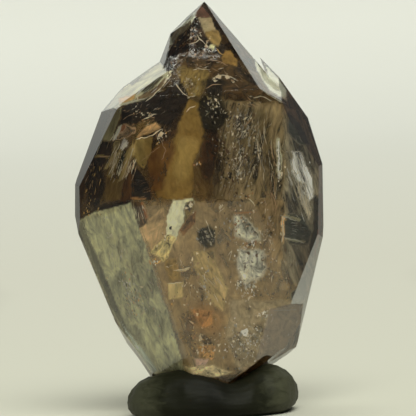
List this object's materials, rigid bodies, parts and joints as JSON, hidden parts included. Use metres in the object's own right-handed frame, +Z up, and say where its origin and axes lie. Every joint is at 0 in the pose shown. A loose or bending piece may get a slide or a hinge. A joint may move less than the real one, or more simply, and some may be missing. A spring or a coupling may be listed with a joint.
{
  "type": "smoky quartz crystal",
  "caption": "Doubly tapered smoky quartz crystal with an off-centre point, a stepped shoulder and flat growth faces, held upright in a lump of mounting putty.",
  "frame": {"origin": "middle of the putty's flat underside, on the surface that the specimen stands on", "axes": "+Z up along the crystal, -Y towards the viewer who sees its broad front face, +X to the viewer's right"},
  "size_m": [0.0354, 0.0278, 0.0578],
  "materials": {
    "smoky_quartz": "clear brown smoky quartz with veils, paler and milky towards the foot",
    "putty": "matt grey-green mounting putty, pressed by hand"
  },
  "bodies": {
    "root": {"crystal": "smoky_quartz", "putty_stand": "putty"}
  },
  "joints": []
}
